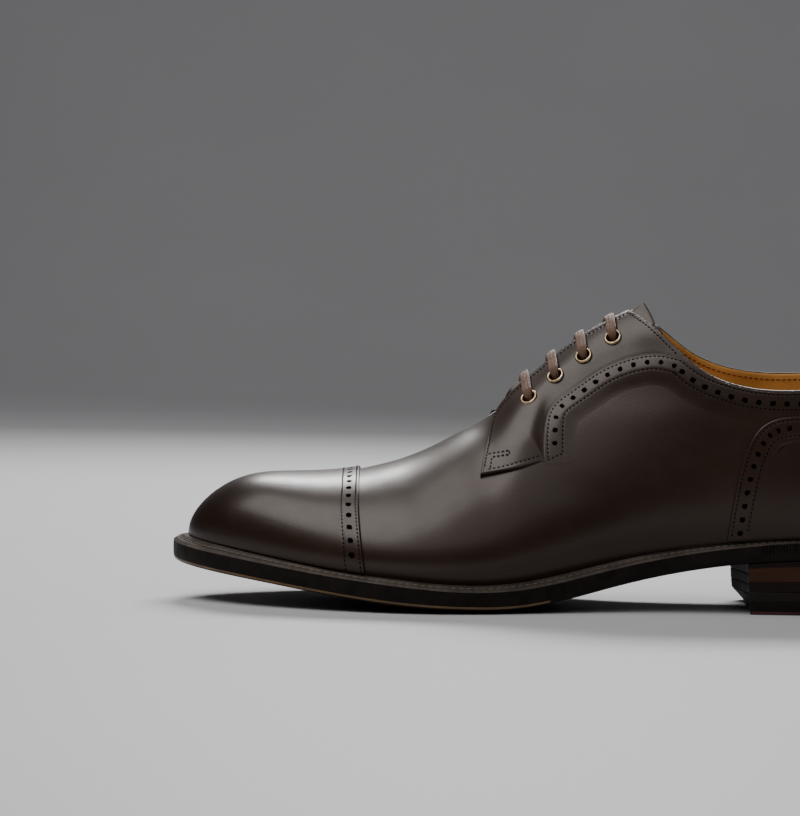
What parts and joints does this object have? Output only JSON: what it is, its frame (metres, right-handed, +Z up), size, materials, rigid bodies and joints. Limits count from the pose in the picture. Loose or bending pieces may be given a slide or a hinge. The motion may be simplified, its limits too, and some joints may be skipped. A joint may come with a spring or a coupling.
{
  "type": "semi brogue",
  "caption": "Left dark brown polished leather semi brogue derby with punched straight toe cap, facing band and counter, brass eyelets, flat lace, welted leather sole and stacked heel.",
  "frame": {"origin": "centre of the shoe's footprint box on the floor it stands on", "axes": "+X from heel to toe, +Y to the outer side of the left foot, +Z up"},
  "size_m": [0.304, 0.1054, 0.123],
  "materials": {
    "upper_leather": "polished dark brown calf with light creases and darker burnished toe",
    "lining_leather": "smooth tan lining and insole leather, matt",
    "lace_cord": "flat waxed brown cotton",
    "eyelet_brass": "antique brass, satin",
    "welt_leather": "grey-brown welt strip, waxed and stitched",
    "sole_leather": "dark stained sole edge, red-brown waist",
    "heel_leather": "stacked lifts, stained and polished",
    "top_piece_rubber": "dark, satin"
  },
  "bodies": {
    "root": {"upper": "upper_leather", "toe_cap": "upper_leather", "counter": "upper_leather", "facing_lateral": "upper_leather", "facing_medial": "upper_leather", "tongue": "upper_leather", "lace": "lace_cord", "insole": "lining_leather", "welt": "welt_leather", "outsole": "sole_leather", "heel_lift_1": "heel_leather", "heel_lift_2": "heel_leather", "heel_lift_3": "heel_leather", "heel_top_piece": "top_piece_rubber", "eyelet_lateral_1": "eyelet_brass", "eyelet_lateral_2": "eyelet_brass", "eyelet_lateral_3": "eyelet_brass", "eyelet_lateral_4": "eyelet_brass", "eyelet_medial_1": "eyelet_brass", "eyelet_medial_2": "eyelet_brass", "eyelet_medial_3": "eyelet_brass", "eyelet_medial_4": "eyelet_brass"}
  },
  "joints": []
}
